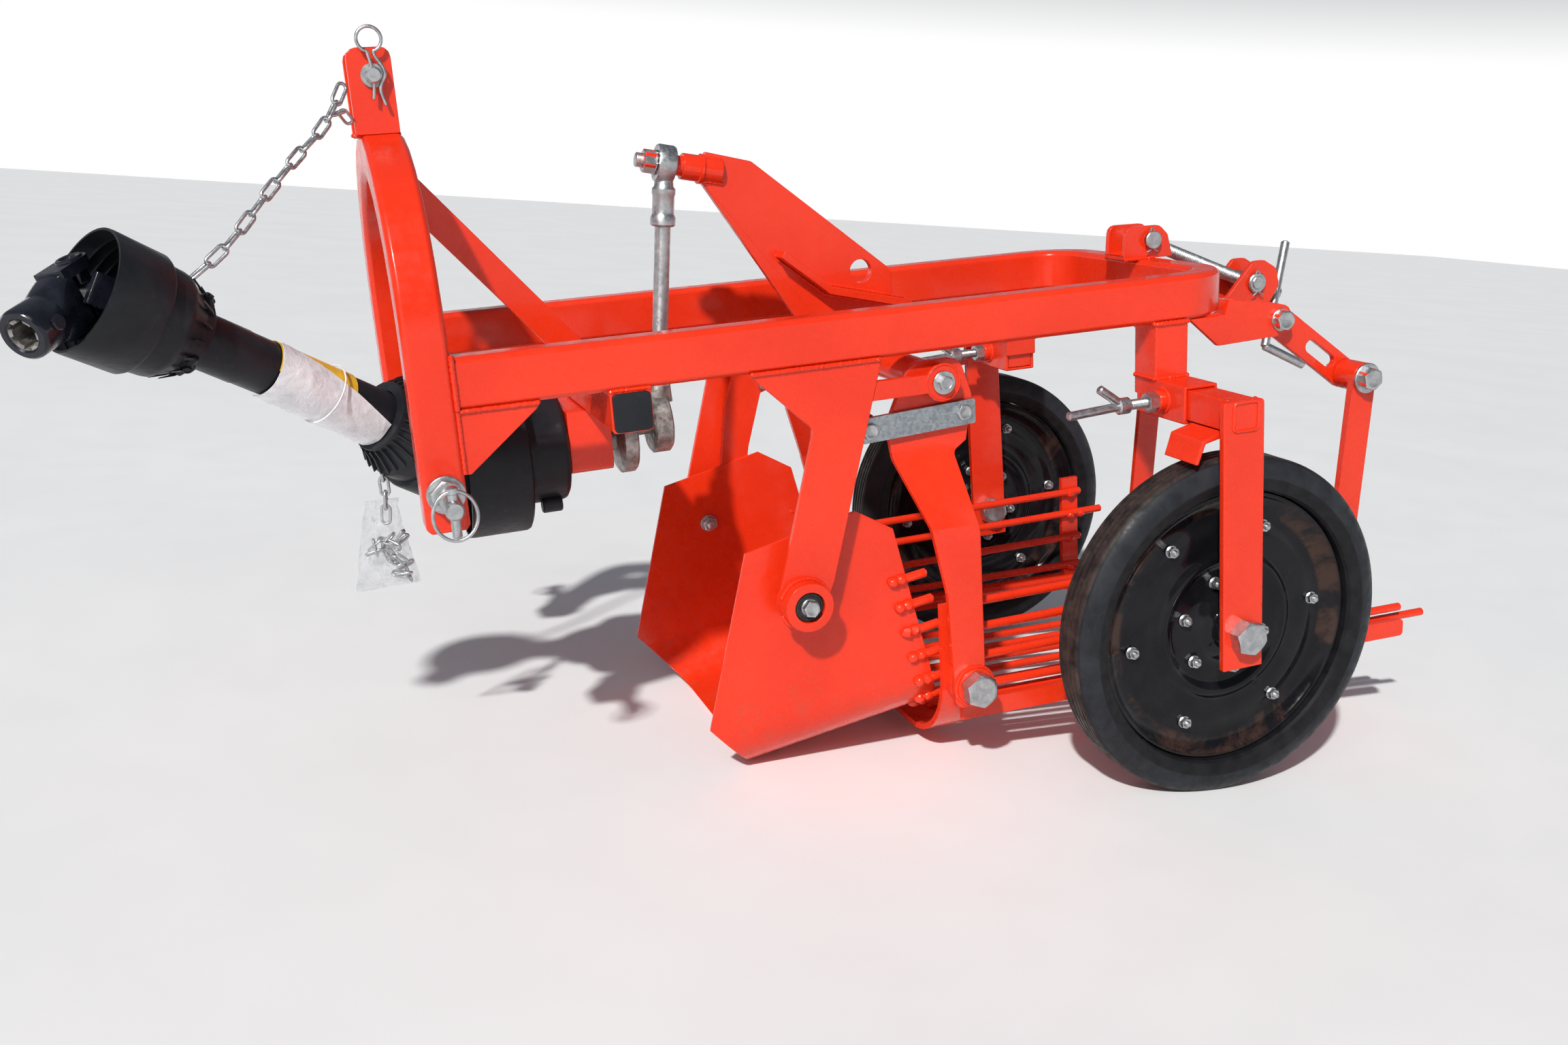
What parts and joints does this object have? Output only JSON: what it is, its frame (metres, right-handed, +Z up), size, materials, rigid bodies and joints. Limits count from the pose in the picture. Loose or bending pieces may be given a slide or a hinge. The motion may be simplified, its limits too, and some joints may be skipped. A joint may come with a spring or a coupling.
{
  "type": "potato digger",
  "caption": "Mounted single-row potato digger with a shaken share and rod sieve, three-point headstock, drive shaft and two support wheels.",
  "frame": {"origin": "centre of the bounding box at floor level, parked on the share and the wheels", "axes": "+X to the rear of the machine (away from the tractor), +Y to its right, +Z up"},
  "size_m": [1.9248, 0.8242, 0.8834],
  "materials": {
    "red_paint": "gloss orange-red coat",
    "zinc": "zinc plated",
    "cast_steel": "bare cast steel",
    "guard_plastic": "black moulded plastic",
    "yoke_black": "gloss black coat",
    "disc_black": "gloss black coat",
    "rubber": "black rubber",
    "sleeve_paper": "white paper in a clear sleeve",
    "bag_plastic": "clear plastic bag"
  },
  "bodies": {
    "root": {"main_frame": "red_paint", "headstock_arch": "red_paint", "gusset_left": "red_paint", "lower_link_pin_left": "zinc", "gusset_right": "red_paint", "lower_link_pin_right": "zinc", "mast_plate_left": "red_paint", "mast_plate_right": "red_paint", "top_link_pin": "zinc", "headstock_brace": "red_paint", "front_cross_tube": "red_paint", "tube_cap_left": "guard_plastic", "tube_cap_right": "guard_plastic", "crank_housing": "red_paint", "crank_shaft": "cast_steel", "master_shield": "guard_plastic", "share_hanger_left": "red_paint", "share_hanger_right": "red_paint", "rocker_bearing_left": "red_paint", "rocker_bearing_right": "red_paint", "rear_lug": "red_paint", "adjuster_spindle": "zinc", "adjuster_lever": "red_paint", "rear_bracket_left": "red_paint", "rear_bracket_right": "red_paint", "wheel_socket_left": "red_paint", "clamp_screw_left": "zinc", "wheel_socket_right": "red_paint", "clamp_screw_right": "zinc", "pto_rear_joint": "yoke_black", "pto_guard_tube": "guard_plastic", "pto_cone_front": "guard_plastic", "pto_cone_rear": "guard_plastic", "document_sleeve": "sleeve_paper", "pto_front_yoke": "yoke_black", "pto_inner_yoke": "yoke_black", "guard_chain": "zinc", "chain_bag": "bag_plastic"},
    "wheel_arm_left": {"wheel_arm_left": "red_paint", "axle_bolt_left": "zinc"},
    "wheel_left": {"tyre_left": "rubber", "wheel_disc_left": "disc_black"},
    "wheel_arm_right": {"wheel_arm_right": "red_paint", "axle_bolt_right": "zinc"},
    "wheel_right": {"tyre_right": "rubber", "wheel_disc_right": "disc_black"},
    "rocker": {"sieve_arm_left": "red_paint", "sieve_arm_right": "red_paint", "rocker_plate": "red_paint", "rocker_shaft": "red_paint"},
    "connecting_rod": {"connecting_rod": "zinc"},
    "link_left": {"link_left": "zinc"},
    "link_right": {"link_right": "zinc"},
    "share": {"share": "red_paint", "share_pivot_left": "rubber", "share_pivot_right": "rubber"},
    "sieve": {"sieve": "red_paint"},
    "rear_hanger_left": {"rear_hanger_left": "red_paint"},
    "rear_hanger_right": {"rear_hanger_right": "red_paint"}
  },
  "joints": [
    {"name": "wheel_arm_left_slide", "type": "slide", "parent": "root", "child": "wheel_arm_left", "axis": [0, -1, 0], "range_m": [0, 0.05]},
    {"name": "wheel_left_spin", "type": "hinge", "parent": "wheel_arm_left", "child": "wheel_left", "pos_m": [0.46707, -0.34085, 0.232], "axis": [0, 1, 0], "continuous": true},
    {"name": "wheel_arm_right_slide", "type": "slide", "parent": "root", "child": "wheel_arm_right", "axis": [0, 1, 0], "range_m": [0, 0.05]},
    {"name": "wheel_right_spin", "type": "hinge", "parent": "wheel_arm_right", "child": "wheel_right", "pos_m": [0.46707, 0.36115, 0.232], "axis": [0, 1, 0], "continuous": true},
    {"name": "rocker_swing", "type": "hinge", "parent": "root", "child": "rocker", "pos_m": [0.07985, -0.00285, 0.5312], "axis": [0, 1, 0], "range_deg": [-4.42, 0]},
    {"name": "connecting_rod_swing", "type": "hinge", "parent": "rocker", "child": "connecting_rod", "pos_m": [-0.23399, -0.00285, 0.77504], "axis": [0, 1, 0], "range_deg": [0, 0.847]},
    {"name": "link_left_swing", "type": "hinge", "parent": "rocker", "child": "link_left", "pos_m": [0.11976, -0.21285, 0.49135], "axis": [0, 1, 0], "range_deg": [0, 2.37]},
    {"name": "link_right_swing", "type": "hinge", "parent": "rocker", "child": "link_right", "pos_m": [0.11976, 0.20715, 0.49135], "axis": [0, 1, 0], "range_deg": [0, 2.37]},
    {"name": "share_swing", "type": "hinge", "parent": "root", "child": "share", "pos_m": [-0.08528, -0.00285, 0.24656], "axis": [0, 1, 0], "range_deg": [0, 1.07]},
    {"name": "sieve_swing", "type": "hinge", "parent": "rocker", "child": "sieve", "pos_m": [0.1606, -0.00285, 0.1275], "axis": [0, 1, 0], "range_deg": [0, 4.91]},
    {"name": "rear_hanger_left_swing", "type": "hinge", "parent": "root", "child": "rear_hanger_left", "pos_m": [0.71588, -0.25385, 0.5536], "axis": [0, 1, 0], "range_deg": [-4.99, 0]},
    {"name": "rear_hanger_right_swing", "type": "hinge", "parent": "root", "child": "rear_hanger_right", "pos_m": [0.71588, 0.24815, 0.5536], "axis": [0, 1, 0], "range_deg": [-4.99, 0]}
  ],
  "couplings": [
    {"joint": "connecting_rod_swing", "follows": "rocker_swing", "ratio": -0.18687},
    {"joint": "share_swing", "follows": "rocker_swing", "ratio": -0.23653},
    {"joint": "sieve_swing", "follows": "rocker_swing", "ratio": -1.105},
    {"joint": "link_left_swing", "follows": "rocker_swing", "ratio": -0.53207},
    {"joint": "rear_hanger_left_swing", "follows": "rocker_swing", "ratio": 1.1229},
    {"joint": "link_right_swing", "follows": "rocker_swing", "ratio": -0.53207},
    {"joint": "rear_hanger_right_swing", "follows": "rocker_swing", "ratio": 1.1229}
  ]
}
